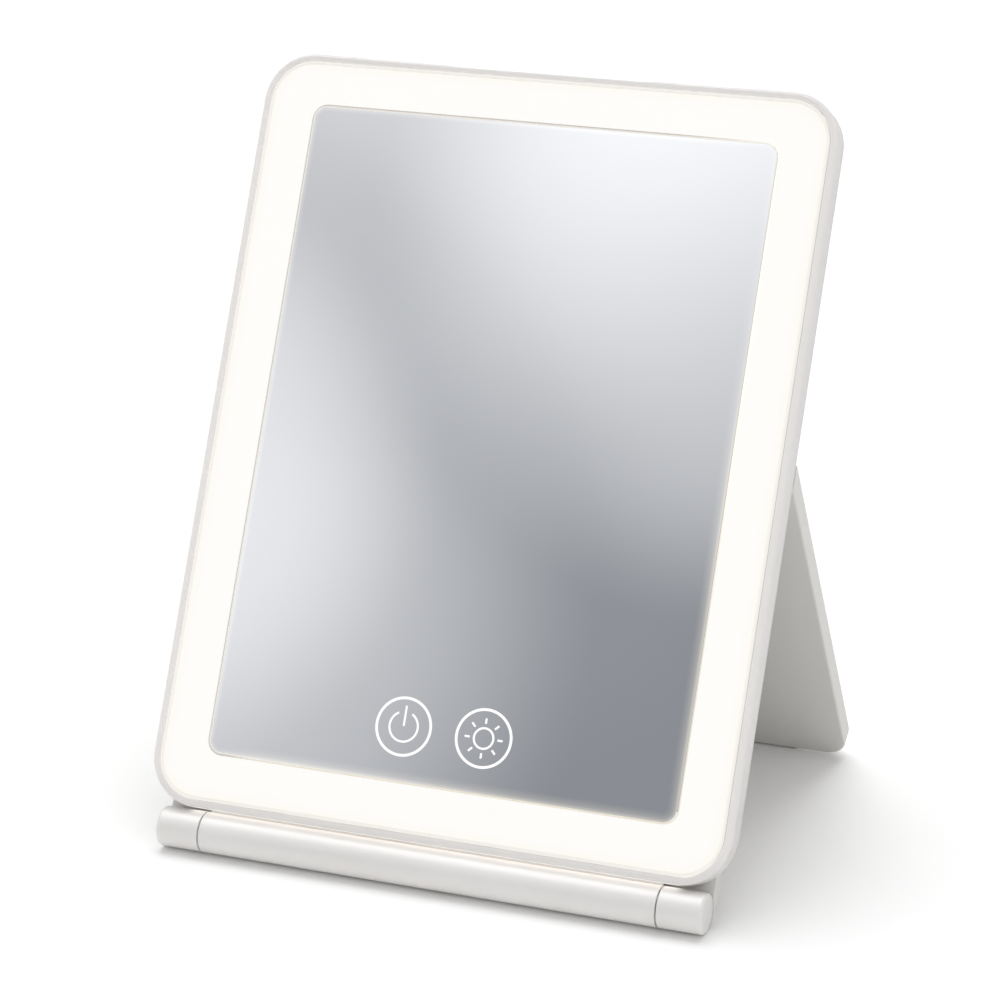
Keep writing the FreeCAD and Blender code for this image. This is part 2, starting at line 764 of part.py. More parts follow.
# Middle barrel with a leaf that the housing clamps, two bushes, the steel pin and the friction washers.
def make_barrel():
    barrel = new_body("hinge_barrel", place_on_barrel)
    sketch = facing_right(barrel, -barrel_end)
    draw_circle(sketch, zero, zero, d.barrel_radius)
    pad(barrel, sketch, barrel_end * 2)
    for x in both_sides(barrel_end):
        dress(barrel, "Chamfer", d.barrel_ease, rim_at(x, d.barrel_radius))
    sketch = facing_right(barrel, -leaf_end)
    draw_rectangle(sketch, zero, leaf_top, leaf_back, leaf_front)
    pad(barrel, sketch, leaf_end * 2)
    sketch = facing_front(barrel, leaf_front)
    for x, y in hinge_screw_places:
        draw_circle(sketch, x, y, d.leaf_boss_radius)
    pad(barrel, sketch, d.leaf_boss_height)
    sketch = facing_right(barrel, -barrel_end)
    draw_circle(sketch, zero, zero, d.barrel_bore)
    pocket(barrel, sketch, barrel_end * 2, forward=True)
    for x, forward in ((-barrel_end, True), (barrel_end, False)):
        sketch = facing_right(barrel, x)
        draw_circle(sketch, zero, zero, d.bush_radius + d.press_gap)
        pocket(barrel, sketch, d.bush_length, forward=forward)
    sketch = facing_front(barrel, leaf_back)
    for x, y in hinge_screw_places:
        draw_circle(sketch, x, y, d.screw_radius + d.screw_gap)
    pocket(barrel, sketch, d.leaf_thickness + d.leaf_boss_height, forward=True)
    for label, x in (("left_bush", -barrel_end), ("right_bush", barrel_end - d.bush_length)):
        bush = new_body(label, place_on_barrel)
        sketch = facing_right(bush, x)
        draw_circle(sketch, zero, zero, d.bush_radius)
        draw_circle(sketch, zero, zero, d.pin_radius + d.running_gap)
        pad(bush, sketch, d.bush_length)
    pin = new_body("hinge_pin", place_on_barrel)
    sketch = facing_right(pin, -pin_end)
    draw_circle(sketch, zero, zero, d.pin_radius)
    pad(pin, sketch, pin_end * 2)
    washers = new_body("friction_washers", place_on_barrel)
    thickness = knuckle_start - barrel_end - d.washer_gap * 2
    for x in (-knuckle_start + d.washer_gap, barrel_end + d.washer_gap):
        sketch = facing_right(washers, x)
        draw_circle(sketch, zero, zero, d.barrel_radius - d.washer_inset)
        draw_circle(sketch, zero, zero, d.pin_radius + d.running_gap)
        pad(washers, sketch, thickness)


# End knuckles: blind pin bore, screw hole from the ear behind and a flat recess below for a foot.
foot_seat = d.barrel_radius - d.foot_sunk
ear_screw_rise = d.pin_radius + d.screw_radius + d.ear_screw_gap
ear_screw_end = plate_back + d.head_height + d.ear_screw_length


def make_knuckles():
    for label, inner, outer in (("left_knuckle", -knuckle_start, -knuckle_end),
                                ("right_knuckle", knuckle_start, knuckle_end)):
        on_right = outer.value > 0
        start = inner if on_right else outer
        knuckle = new_body(label, place_on_barrel)
        sketch = facing_right(knuckle, start)
        draw_circle(sketch, zero, zero, d.barrel_radius)
        pad(knuckle, sketch, d.knuckle_length)
        dress(knuckle, "Fillet", d.knuckle_round, rim_at(outer, d.barrel_radius))
        dress(knuckle, "Chamfer", d.barrel_ease, rim_at(inner, d.barrel_radius))
        sketch = facing_right(knuckle, inner)
        draw_circle(sketch, zero, zero, d.pin_radius + d.press_gap)
        pocket(knuckle, sketch, pin_end - knuckle_start + d.screw_gap, forward=on_right)
        sketch = facing_right(knuckle, start + d.foot_margin)
        draw_outline(sketch, foot_outline(foot_seat, axis_height, d.foot_width + d.screw_gap * 2))
        pocket(knuckle, sketch, d.knuckle_length - d.foot_margin * 2, forward=True)
        sketch = facing_front(knuckle, -d.barrel_radius)
        draw_circle(sketch, knuckle_middle if on_right else -knuckle_middle, ear_screw_rise,
                    d.screw_radius + d.screw_gap)
        pocket(knuckle, sketch, ear_screw_end + d.screw_gap + d.barrel_radius, forward=True)


# A block square to the table, between two depths below the barrel's axis and set back a little behind it.
def foot_outline(near, far, width):
    def point(down, aside):
        y = aside * sine(d.mirror_lean_angle) - down * cosine(d.mirror_lean_angle)
        z = -(aside * cosine(d.mirror_lean_angle)) - down * sine(d.mirror_lean_angle)
        return (y, z)
    front_side = d.foot_setback - width / 2
    rear_side = d.foot_setback + width / 2
    return [point(near, front_side), point(far, front_side), point(far, rear_side), point(near, rear_side)]


def make_barrel_feet():
    feet = new_body("barrel_feet", place_on_barrel)
    length = d.knuckle_length - d.foot_margin * 2 - d.screw_gap * 2
    for start in (-knuckle_end, knuckle_start):
        sketch = facing_right(feet, start + d.foot_margin + d.screw_gap)
        draw_outline(sketch, foot_outline(foot_seat, axis_height, d.foot_width))
        pad(feet, sketch, length)


# Back plate: ears that seat on the end knuckles, and hinge knuckles for the leg behind a stop lip.
plate_folds = (
    (-fold_end, -fold_outer),
    (-fold_middle, fold_middle),
    (fold_outer, fold_end),
)
leg_folds = (
    (d.fold_side_gap - fold_outer, -fold_middle - d.fold_side_gap),
    (fold_middle + d.fold_side_gap, fold_outer - d.fold_side_gap),
)
ear_seat = d.barrel_radius + d.press_gap
bumper_side = plate_half_width - d.bumper_inset
bumper_rows = (plate_foot + d.bumper_foot_margin, plate_top - d.bumper_top_margin)
bumper_places = [(x, y) for x in both_sides(bumper_side) for y in bumper_rows]


def make_back_plate():
    plate = new_body("back_plate", place_on_barrel)
    wide = plate_half_width
    ear = knuckle_start + d.ear_gap
    ear_foot = d.ear_tip - ear_seat * sine(d.ear_taper_angle)
    ear_bend = taper_height(plate_back)
    sketch = facing_front(plate, plate_back)
    draw_outline(sketch, [
        (-wide, ear_foot), (-ear, ear_foot), (-ear, plate_foot), (ear, plate_foot),
        (ear, ear_foot), (wide, ear_foot), (wide, plate_top), (-wide, plate_top),
    ])
    pad(plate, sketch, plate_front - plate_back)
    sketch = facing_front(plate, lip_back)
    draw_rectangle(sketch, -wide, wide, plate_top - d.lip_thickness, d.fold_rise + d.lip_rise)
    pad(plate, sketch, d.lip_thickness)
    for start, end in plate_folds:
        sketch = facing_right(plate, start)
        draw_rectangle(sketch, plate_top - d.lip_thickness, d.fold_rise, plate_back, plate_front)
        pad(plate, sketch, end - start)
        sketch = facing_right(plate, start)
        draw_circle(sketch, d.fold_rise, fold_depth, d.fold_radius)
        pad(plate, sketch, end - start)
    sketch = facing_right(plate, -wide)
    draw_outline(sketch, [(ear_foot, taper_depth(ear_foot)), (ear_bend, plate_back), (ear_foot, plate_back)])
    pocket(plate, sketch, wide * 2, forward=True)
    sketch = facing_right(plate, -wide)
    draw_circle(sketch, d.fold_rise, fold_depth, d.fold_pin_radius + d.press_gap)
    pocket(plate, sketch, wide * 2, forward=True)
    sketch = facing_right(plate, -wide)
    draw_circle(sketch, zero, zero, ear_seat)
    pocket(plate, sketch, wide * 2, forward=True)
    sketch = facing_right(plate, -ear)
    draw_circle(sketch, zero, zero, d.barrel_radius + d.plate_barrel_gap)
    pocket(plate, sketch, ear * 2, forward=True)
    sketch = facing_front(plate, plate_back)
    for x in both_sides(knuckle_middle):
        draw_circle(sketch, x, ear_screw_rise, d.head_radius + d.head_gap)
    pocket(plate, sketch, d.head_height, forward=True)
    sketch = facing_front(plate, plate_back)
    for x in both_sides(knuckle_middle):
        draw_circle(sketch, x, ear_screw_rise, d.screw_radius + d.head_gap)
    pocket(plate, sketch, plate_front - plate_back, forward=True)
    sketch = facing_front(plate, plate_front)
    for x, y in bumper_places:
        draw_circle(sketch, x, y, d.bumper_radius + d.seat_gap)
    pocket(plate, sketch, d.bumper_seat)


# Behind, the ears taper along a line that touches the round of the knuckles.
def taper_depth(y):
    return -((ear_seat + y * sine(d.ear_taper_angle)) / cosine(d.ear_taper_angle))


def taper_height(z):
    return -((ear_seat + z * cosine(d.ear_taper_angle)) / sine(d.ear_taper_angle))


def make_bumper_pads():
    pads = new_body("bumper_pads", place_on_barrel)
    sketch = facing_front(pads, plate_front - d.bumper_seat)
    for x, y in bumper_places:
        draw_circle(sketch, x, y, d.bumper_radius)
    pad(pads, sketch, d.bumper_seat + d.plate_gap - d.bumper_gap)


def make_leg_hinge_pin():
    pin = new_body("leg_hinge_pin", place_on_barrel)
    sketch = facing_right(pin, -fold_end)
    draw_circle(sketch, d.fold_rise, fold_depth, d.fold_pin_radius)
    pad(pin, sketch, fold_end * 2)


# Leg: a hollow moulding open behind, with two hinge knuckles whose heels stop on the plate's lip.
# A horn on each side passes the plate and ends along the mirror's back.
horn_reach = back - d.horn_clear - fold_depth
horn_side = plate_half_width + d.horn_gap
leg_posts = [
    (x, y)
    for x in both_sides(leg_half_width - d.leg_post_inset)
    for y in (leg_end + d.leg_post_margin, leg_top - d.leg_post_margin)
]


def draw_leg_outline(sketch, inset):
    draw_rounded(sketch, inset - leg_half_width, leg_half_width - inset, leg_end + inset, leg_top - inset,
                 d.leg_corner - inset, d.leg_top_corner - inset)


def horn_end(z):
    return (horn_reach - z * cosine(leg_turn)) / sine(leg_turn)


def make_leg_panel():
    leg = new_body("leg_panel", place_on_fold)
    horn_top = horn_end(leg_back)
    sketch = facing_front(leg, leg_back)
    draw_rounded(sketch, -leg_half_width, leg_half_width, leg_end, horn_top, d.leg_corner, d.horn_corner)
    pad(leg, sketch, d.leg_thickness)
    sketch = facing_front(leg, leg_back)
    draw_rectangle(sketch, -horn_side, horn_side, leg_top, horn_top)
    pocket(leg, sketch, d.leg_thickness, forward=True)
    dress(leg, "Fillet", d.leg_round, lambda edge: at_depth(leg_front)(edge) or at_depth(leg_back)(edge))
    sketch = facing_right(leg, -leg_half_width)
    draw_outline(sketch, [(horn_end(leg_front), leg_front), (horn_top, leg_front), (horn_top, leg_back)])
    pocket(leg, sketch, leg_half_width * 2, forward=True)
    sketch = facing_front(leg, leg_back)
    draw_leg_outline(sketch, d.leg_rim)
    pocket(leg, sketch, d.cover_thickness, forward=True)
    sketch = facing_front(leg, leg_back)
    draw_leg_outline(sketch, d.leg_rim + d.leg_seat)
    for x, y in leg_posts:
        draw_circle(sketch, x, y, d.leg_post_radius)
    pocket(leg, sketch, d.leg_thickness - d.leg_front_wall, forward=True)
    sketch = facing_front(leg, leg_back)
    for x, y in leg_posts:
        draw_circle(sketch, x, y, d.screw_radius + d.screw_gap)
    pocket(leg, sketch, d.head_height + d.leg_screw_length + d.screw_gap, forward=True)
    for start, end in leg_folds:
        sketch = facing_right(leg, start)
        draw_rectangle(sketch, leg_top - d.leg_rim, zero, leg_front - d.fold_radius, leg_front)
        pad(leg, sketch, end - start)
        sketch = facing_right(leg, start)
        draw_circle(sketch, zero, zero, d.fold_radius)
        pad(leg, sketch, end - start)
        sketch = facing_right(leg, start)
        draw_outline(sketch, heel_outline())
        pad(leg, sketch, end - start)
    sketch = facing_right(leg, -fold_end)
    draw_circle(sketch, zero, zero, d.fold_pin_radius + d.running_gap)
    pocket(leg, sketch, fold_end * 2, forward=True)
    sketch = facing_right(leg, -foot_strip_half_length)
    draw_rectangle(sketch, leg_end, leg_end + d.foot_strip_seat, -d.foot_strip_far, -d.foot_strip_near)
    pocket(leg, sketch, foot_strip_half_length * 2, forward=True)


# The heel is square to the plate's lip when the leg is open, so it is drawn there and turned back.
def heel_outline():
    reach = lip_back - fold_depth - d.stop_gap

    def point(up, forward):
        y = up * cosine(leg_turn) + forward * sine(leg_turn)
        z = forward * cosine(leg_turn) - up * sine(leg_turn)
        return (y, z)
    foot = [point(zero, zero), point(d.stop_height, d.stop_root)]
    return foot + [point(d.stop_height, reach), point(zero, reach)]


def make_leg_back_cover():
    cover = new_body("leg_back_cover", place_on_fold)
    sketch = facing_front(cover, leg_back)
    draw_leg_outline(sketch, d.leg_rim + d.cover_gap)
    pad(cover, sketch, d.cover_thickness)
    sketch = facing_front(cover, leg_back)
    for x, y in leg_posts:
        draw_circle(sketch, x, y, d.head_radius + d.head_gap)
    pocket(cover, sketch, d.head_height, forward=True)
    sketch = facing_front(cover, leg_back)
    for x, y in leg_posts:
        draw_circle(sketch, x, y, d.screw_radius + d.head_gap)
    pocket(cover, sketch, d.cover_thickness, forward=True)


# Rubber strip in the leg's end, cut level so that it lies flat on the table.
def make_leg_foot_strip():
    def table_at(z):
        return (z * sine(d.leg_lean_angle) - fold_height) / cosine(d.leg_lean_angle)
    strip = new_body("leg_foot_strip", place_on_fold)
    near = -d.foot_strip_near - d.screw_gap
    far = -d.foot_strip_far + d.screw_gap
    top = leg_end + d.foot_strip_seat - d.screw_gap
    sketch = facing_right(strip, d.screw_gap - foot_strip_half_length)
    draw_outline(sketch, [(top, far), (top, near), (table_at(near), near), (table_at(far), far)])
    pad(strip, sketch, (foot_strip_half_length - d.screw_gap) * 2)


def make_screws():
    housing = [new_screw("housing_screw", x, y, back, d.screw_length - d.head_height) for x, y in post_places]
    new_group("housing_screws", housing, place_on_barrel)
    hinge = [new_screw("hinge_screw", x, y, back, d.hinge_screw_length) for x, y in hinge_screw_places]
    new_group("hinge_screws", hinge, place_on_barrel)
    knuckle = [new_screw("knuckle_screw", x, ear_screw_rise, plate_back, d.ear_screw_length)
               for x in both_sides(knuckle_middle)]
    new_group("knuckle_screws", knuckle, place_on_barrel)
    leg = [new_screw("leg_screw", x, y, leg_back, d.leg_screw_length) for x, y in leg_posts]
    new_group("leg_screws", leg, place_on_fold)


make_front_frame()
make_rear_shell()
make_diffuser_panel()
make_mirror_glass()
make_glass_tape()
make_lamp_strips()
make_touch_control()
make_main_board()
make_usb_socket()
make_battery()
make_barrel()
make_knuckles()
make_barrel_feet()
make_back_plate()
make_bumper_pads()
make_leg_hinge_pin()
make_leg_panel()
make_leg_back_cover()
make_leg_foot_strip()
make_screws()

# The origin is under the middle of the whole part, so the barrel's axis is set back by what that takes.
whole = FreeCAD.BoundBox()
for node in nodes:
    whole.add(node.Shape.optimalBoundingBox(False))
sheet.set(cells["axis_setback"], str(-whole.Center.y))
doc.recompute()

for item in doc.Objects:
    if "Invalid" in item.State or "Error" in item.State:
        raise RuntimeError(f"{item.Label} failed to build")
for node in nodes:
    if node.Shape.isNull() or not node.Shape.isValid() or not node.Shape.Solids:
        raise RuntimeError(f"{node.Label} has no valid solid")

os.makedirs("parts", exist_ok=True)
for node in nodes:
    node.Shape.exportStep(f"parts/{node.Label}.step")
    print(node.Label, len(node.Shape.Solids), round(node.Shape.Volume, 1))
whole = FreeCAD.BoundBox()
for node in nodes:
    whole.add(node.Shape.optimalBoundingBox(False))
print("box", whole)
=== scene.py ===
import bpy
import bmesh
import json
import math
from mathutils import Matrix, Vector


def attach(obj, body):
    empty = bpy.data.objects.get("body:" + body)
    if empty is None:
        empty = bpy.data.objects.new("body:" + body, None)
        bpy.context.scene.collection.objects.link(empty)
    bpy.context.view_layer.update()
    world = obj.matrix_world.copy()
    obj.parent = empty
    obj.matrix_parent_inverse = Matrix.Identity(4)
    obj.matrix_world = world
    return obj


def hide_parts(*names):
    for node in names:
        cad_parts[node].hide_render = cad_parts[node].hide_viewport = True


# Lighted makeup mirror on its folding stand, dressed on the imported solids
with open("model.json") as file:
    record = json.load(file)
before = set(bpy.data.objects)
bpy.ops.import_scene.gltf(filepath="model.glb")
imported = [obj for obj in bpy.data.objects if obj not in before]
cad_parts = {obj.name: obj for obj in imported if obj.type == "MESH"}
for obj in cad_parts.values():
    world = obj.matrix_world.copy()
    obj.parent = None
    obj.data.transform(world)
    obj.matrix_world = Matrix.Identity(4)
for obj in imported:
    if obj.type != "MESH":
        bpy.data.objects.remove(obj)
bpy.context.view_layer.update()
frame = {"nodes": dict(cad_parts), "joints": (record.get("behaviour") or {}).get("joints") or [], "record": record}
nodes = frame["nodes"]
joints = {joint["name"]: joint for joint in frame["joints"]}
print("frame loaded:", len(nodes), "nodes")

mm = 0.001

# How the solids lean, in degrees, and the corners of the frame and the glass, in millimetres
mirrorForm = {"mirrorLean": 26.8, "legLean": 33.2, "frameCorner": 14.5, "glassCorner": 4.5}

# The mirror's own frame: x to the right, y up the mirror from the barrel's axis, z out of the glass
barrelPlace = Vector(joints["mirror_tilt"]["pos_m"])
foldPlace = Vector(joints["leg_swing"]["pos_m"])
headTurn = Matrix.Rotation(math.radians(90 - mirrorForm["mirrorLean"]), 4, "X")
legTurn = Matrix.Rotation(math.radians(90 + mirrorForm["legLean"]), 4, "X")
headFrame = Matrix.Translation(barrelPlace) @ headTurn @ Matrix.Scale(mm, 4)
legFrame = Matrix.Translation(foldPlace) @ legTurn @ Matrix.Scale(mm, 4)


# Lowest and highest corner of a solid in millimetres of the given frame
def boxIn(place, node):
    toPlace = place.inverted()
    corners = [toPlace @ vertex.co for vertex in nodes[node].data.vertices]
    low = Vector([min(corner[axis] for corner in corners) for axis in range(3)])
    high = Vector([max(corner[axis] for corner in corners) for axis in range(3)])
    return low, high


glassLow, glassHigh = boxIn(headFrame, "mirror_glass")
diffuserLow, diffuserHigh = boxIn(headFrame, "diffuser_panel")
frameLow, frameHigh = boxIn(headFrame, "front_frame")


# Colours are written as sRGB hex and used as linear light
def fromHex(text):
    levels = [int(text[place:place + 2], 16) / 255 for place in (1, 3, 5)]
    linear = [level / 12.92 if level <= 0.04045 else ((level + 0.055) / 1.055) ** 2.4 for level in levels]
    return (*linear, 1)


# Adds one node with its settings, and its inputs as values or as sockets to link
def addNode(tree, kind, inputs=None, **settings):
    node = tree.nodes.new(kind)
    for name, value in settings.items():
        setattr(node, name, value)
    for name, value in (inputs or {}).items():
        if isinstance(value, bpy.types.NodeSocket):
            tree.links.new(value, node.inputs[name])
        else:
            node.inputs[name].default_value = value
    return node


def newMaterial(name):
    material = bpy.data.materials.new(name)
    material.use_nodes = True
    tree = material.node_tree
    tree.nodes.clear()
    shader = addNode(tree, "ShaderNodeBsdfPrincipled")
    addNode(tree, "ShaderNodeOutputMaterial", {"Surface": shader.outputs["BSDF"]})
    return material, tree, shader


# Millimetres in the mirror's own frame, counted from the middle of a piece
def addPlace(tree, low, high):
    middle = (low + high) / 2
    local = headFrame.inverted()
    return addNode(tree, "ShaderNodeMapping",
                   {"Vector": addNode(tree, "ShaderNodeTexCoord").outputs["Object"],
                    "Location": local.translation - Vector((middle.x, middle.y, 0)),
                    "Rotation": local.to_euler(), "Scale": local.to_scale()}).outputs["Vector"]


# How far a place lies inside a piece's rounded outline
def addEdgeDistance(tree, place, low, high, corner):
    anyDepth = 1000.0  # more than any place has, which keeps depth out of the sum
    halves = (high - low) / 2
    outer = addNode(tree, "ShaderNodeVectorMath", {0: place}, operation="ABSOLUTE")
    inset = addNode(tree, "ShaderNodeVectorMath",
                    {0: outer.outputs["Vector"], 1: (halves.x - corner, halves.y - corner, anyDepth)},
                    operation="SUBTRACT")
    beyond = addNode(tree, "ShaderNodeVectorMath", {0: inset.outputs["Vector"], 1: (0, 0, 0)},
                     operation="MAXIMUM")
    reach = addNode(tree, "ShaderNodeVectorMath", {0: beyond.outputs["Vector"]}, operation="LENGTH")
    sides = addNode(tree, "ShaderNodeSeparateXYZ", {"Vector": inset.outputs["Vector"]})
    nearest = addNode(tree, "ShaderNodeMath", {0: sides.outputs["X"], 1: sides.outputs["Y"]},
                      operation="MAXIMUM")
    within = addNode(tree, "ShaderNodeMath", {0: nearest.outputs["Value"], 1: 0.0}, operation="MINIMUM")
    signed = addNode(tree, "ShaderNodeMath", {0: reach.outputs["Value"], 1: within.outputs["Value"]},
                     operation="ADD")
    return addNode(tree, "ShaderNodeMath", {0: corner, 1: signed.outputs["Value"]},
                   operation="SUBTRACT").outputs["Value"]


# What all moulded finishes share: softened edges in millimetres, and how far cloud and grain break up
moulding = {"edgeRadius": 0.15, "edgeSamples": 6, "cloudDetail": 2.0, "grainDetail": 3.0}


# Moulded or painted finish: faint cloudy colour, uneven gloss, a fine grain and softened edges
def newMoulded(name, finish):
    material, tree, shader = newMaterial(name)
    place = addNode(tree, "ShaderNodeTexCoord").outputs["Object"]
    cloud = addNode(tree, "ShaderNodeTexNoise", {"Vector": place, "Scale": 1 / (finish["cloudSize"] * mm),
                                                 "Detail": moulding["cloudDetail"]})
    tint = addNode(tree, "ShaderNodeMix", {"Factor": cloud.outputs["Fac"], "A": fromHex(finish["shade"]),
                                           "B": fromHex(finish["colour"])}, data_type="RGBA")
    gloss = addNode(tree, "ShaderNodeMapRange",
                    {"Value": cloud.outputs["Fac"], "To Min": finish["roughness"] - finish["unevenness"],
                     "To Max": finish["roughness"] + finish["unevenness"]})
    # Real grains are mostly finer than these, which are drawn coarse enough to show
    grain = addNode(tree, "ShaderNodeTexNoise", {"Vector": place, "Scale": 1 / (finish["grainSize"] * mm),
                                                 "Detail": moulding["grainDetail"]})
    edge = addNode(tree, "ShaderNodeBevel", {"Radius": moulding["edgeRadius"] * mm},
                   samples=moulding["edgeSamples"])
    bump = addNode(tree, "ShaderNodeBump",
                   {"Height": grain.outputs["Fac"], "Strength": finish["grainStrength"],
                    "Distance": finish["grainDepth"] * mm, "Normal": edge.outputs["Normal"]})
    constants = {"IOR": finish["ior"], "Metallic": finish.get("metallic", 0.0),
                 "Subsurface Weight": finish.get("translucency", 0.0), "Subsurface Radius": (1, 1, 1),
                 "Subsurface Scale": finish.get("bleed", 1.0) * mm, "Coat Weight": finish.get("coat", 0.0),
                 "Coat Roughness": finish.get("coatRoughness", 0.03)}
    for socket, value in constants.items():
        shader.inputs[socket].default_value = value
    tree.links.new(tint.outputs["Result"], shader.inputs["Base Color"])
    tree.links.new(gloss.outputs["Result"], shader.inputs["Roughness"])
    tree.links.new(bump.outputs["Normal"], shader.inputs["Normal"])
    return material, tree, shader


# Moulded ABS, satin: soft broad highlights, and a white that lets light creep a little way in
satinFinish = {"colour": "#E6E5E4", "shade": "#E1E0DE", "roughness": 0.38, "unevenness": 0.03, "ior": 1.54,
               "cloudSize": 40.0, "grainSize": 0.5, "grainStrength": 0.12, "grainDepth": 0.01,
               "translucency": 0.4, "bleed": 1.5}

# The moulded, painted and plated finishes by the slot that asks for each, with their sizes in millimetres
mouldedFinishes = {
    "white_plastic": ("satinMouldedAbs", satinFinish),
    # Pearl lacquer on ABS: a brighter, tighter sheen along the barrel
    "pearl_plastic": ("pearlLacqueredAbs", {
        "colour": "#F2F0EE", "shade": "#EBE8E5", "roughness": 0.36, "unevenness": 0.03, "ior": 1.5,
        "cloudSize": 25.0, "grainSize": 0.35, "grainStrength": 0.1, "grainDepth": 0.008,
        "translucency": 0.4, "bleed": 1.5, "coat": 1.0, "coatRoughness": 0.32}),
    # Spark-eroded ABS, matt: an even white with a fine sandy grain
    "stand_plastic": ("sparkErodedAbs", {
        "colour": "#E9E7E4", "shade": "#E2E0DC", "roughness": 0.55, "unevenness": 0.04, "ior": 1.54,
        "cloudSize": 45.0, "grainSize": 0.6, "grainStrength": 0.3, "grainDepth": 0.02}),
    # Natural acetal: milky and slippery
    "acetal": ("naturalAcetal", {
        "colour": "#EFEDE6", "shade": "#E8E5DC", "roughness": 0.4, "unevenness": 0.03, "ior": 1.48,
        "cloudSize": 8.0, "grainSize": 0.4, "grainStrength": 0.1, "grainDepth": 0.01}),
    # Moulded silicone rubber: dull pale grey that picks up dust
    "rubber": ("siliconeRubber", {
        "colour": "#DEDCD8", "shade": "#D3D1CC", "roughness": 0.8, "unevenness": 0.06, "ior": 1.43,
        "cloudSize": 6.0, "grainSize": 0.3, "grainStrength": 0.4, "grainDepth": 0.03}),
    # Acrylic foam tape: chalky off-white with open pores
    "foam_tape": ("acrylicFoamTape", {
        "colour": "#CFC9BC", "shade": "#B8B1A2", "roughness": 0.9, "unevenness": 0.05, "ior": 1.4,
        "cloudSize": 4.0, "grainSize": 0.4, "grainStrength": 0.6, "grainDepth": 0.05}),
    # Glass-epoxy board under white solder mask: faintly uneven under a smooth coat
    "circuit_board": ("whiteSolderMask", {
        "colour": "#E4E6E1", "shade": "#D9DCD6", "roughness": 0.35, "unevenness": 0.05, "ior": 1.5,
        "cloudSize": 3.0, "grainSize": 0.6, "grainStrength": 0.2, "grainDepth": 0.02}),
    # Moulded epoxy of the chips: black with a dusty grain
    "black_resin": ("blackMouldedEpoxy", {
        "colour": "#262628", "shade": "#1B1B1D", "roughness": 0.6, "unevenness": 0.08, "ior": 1.55,
        "cloudSize": 2.0, "grainSize": 0.25, "grainStrength": 0.3, "grainDepth": 0.02}),
    # Silicone over yellow phosphor on the lamps: a smooth, wet-looking yellow
    "lamp_resin": ("phosphorResin", {
        "colour": "#F4E28A", "shade": "#EBD468", "roughness": 0.25, "unevenness": 0.05, "ior": 1.45,
        "cloudSize": 1.5, "grainSize": 0.3, "grainStrength": 0.1, "grainDepth": 0.01}),
    # Laminated pouch foil: crumpled silver
    "battery_foil": ("laminatedPouchFoil", {
        "colour": "#C4C7CA", "shade": "#AEB1B5", "roughness": 0.35, "unevenness": 0.08, "ior": 1.5,
        "cloudSize": 5.0, "grainSize": 3.0, "grainStrength": 0.5, "grainDepth": 0.1, "metallic": 1.0}),
    # Bare copper of the sensing pads: warm and lightly tarnished
    "copper": ("bareCopper", {
        "colour": "#D08B66", "shade": "#B26E4C", "roughness": 0.3, "unevenness": 0.08, "ior": 1.5,
        "cloudSize": 2.0, "grainSize": 0.5, "grainStrength": 0.1, "grainDepth": 0.01, "metallic": 1.0}),
    # Nickel-plated steel of screws, pins and socket: bright with fine drawing marks
    "steel": ("nickelPlatedSteel", {
        "colour": "#C9C9C8", "shade": "#B0B0B0", "roughness": 0.25, "unevenness": 0.06, "ior": 1.5,
        "cloudSize": 1.0, "grainSize": 0.2, "grainStrength": 0.15, "grainDepth": 0.01, "metallic": 1.0}),
}
finishes = {slot: newMoulded(name, finish)[0] for slot, (name, finish) in mouldedFinishes.items()}


# The satin ABS again round the lamps, with a faint painted glow on its front edge and its sill over the barrel
def makeRimAbs():
    tone = {"colour": "#E9E7E5", "shade": "#E4E1DF"}
    glow = {"colour": "#FFFBF5", "strength": 0.13, "ends": 0.04, "depth": 1.3, "turn": 6.0,
            "sillStrength": 0.6, "sillDepth": 0.15}
    material, tree, shader = newMoulded("rimAbsPaintedGlow", satinFinish | tone)
    place = addPlace(tree, frameLow, frameHigh)
    spot = addNode(tree, "ShaderNodeSeparateXYZ", {"Vector": place}).outputs
    outward = addNode(tree, "ShaderNodeMath", {0: spot["X"]}, operation="ABSOLUTE")
    # Painted light on the front edge, stronger at the sides than at the top and bottom
    side = addNode(tree, "ShaderNodeMapRange",
                   {"Value": outward.outputs["Value"], "From Min": frameHigh.x - glow["turn"],
                    "From Max": frameHigh.x, "To Min": glow["ends"], "To Max": glow["strength"]})
    front = addNode(tree, "ShaderNodeMapRange",
                    {"Value": spot["Z"], "From Min": frameHigh.z - glow["depth"], "From Max": frameHigh.z,
                     "To Max": side.outputs["Result"]})
    # Painted light on the sill, which lightens the shade in the gap above the barrel
    sill = (frameLow.y - frameHigh.y) / 2
    under = addNode(tree, "ShaderNodeMapRange",
                    {"Value": spot["Y"], "From Min": sill, "From Max": sill + glow["sillDepth"],
                     "To Min": glow["sillStrength"], "To Max": 0.0})
    both = addNode(tree, "ShaderNodeMath", {0: front.outputs["Result"], 1: under.outputs["Result"]},
                   operation="ADD")
    shader.inputs["Emission Color"].default_value = fromHex(glow["colour"])
    tree.links.new(both.outputs["Value"], shader.inputs["Emission Strength"])
    return material
